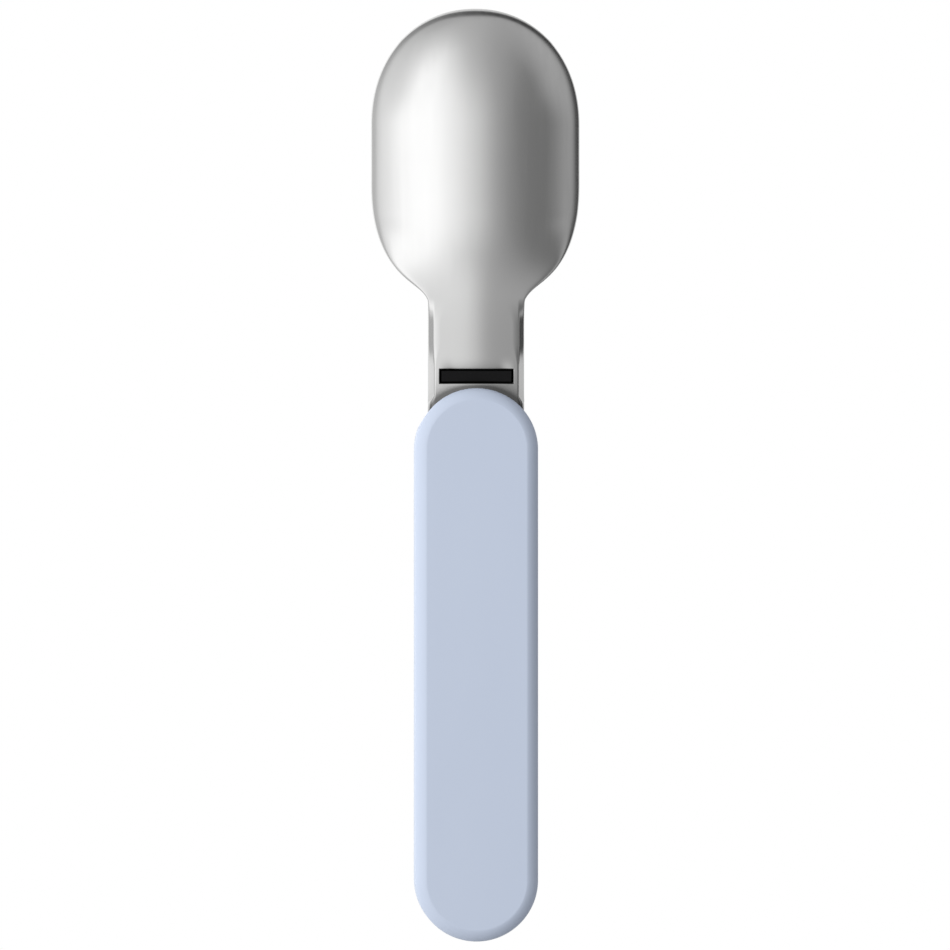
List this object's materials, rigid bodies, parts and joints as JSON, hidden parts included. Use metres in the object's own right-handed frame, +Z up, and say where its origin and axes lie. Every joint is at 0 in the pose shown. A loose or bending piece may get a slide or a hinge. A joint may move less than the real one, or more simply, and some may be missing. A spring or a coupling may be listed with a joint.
{
  "type": "folding spoon",
  "caption": "Folding spoon with a pressed steel bowl on a channel neck, hinged in a rounded moulded handle so that the bowl swings over and lies on the handle's front.",
  "frame": {"origin": "on the table under the middle of the opened spoon's length", "axes": "+Z up, the hollow of the bowl faces up; +Y along the spoon from handle to bowl; X across, along the hinge pin"},
  "size_m": [0.0354, 0.158, 0.0086],
  "materials": {
    "head_steel": "satin polished",
    "hinge_steel": "plain drawn",
    "knuckle_plastic": "fine matt",
    "handle_plastic": "smooth satin"
  },
  "bodies": {
    "handle": {"handle_shell": "handle_plastic", "handle_cover": "handle_plastic", "hinge_pin": "hinge_steel", "detent_spring": "hinge_steel"},
    "head": {"spoon_head": "head_steel", "hinge_knuckle": "knuckle_plastic"}
  },
  "joints": [
    {"name": "fold", "type": "hinge", "parent": "handle", "child": "head", "pos_m": [0, 0.007, 0.0068], "axis": [1, 0, 0], "range_deg": [0, 177.5]}
  ]
}
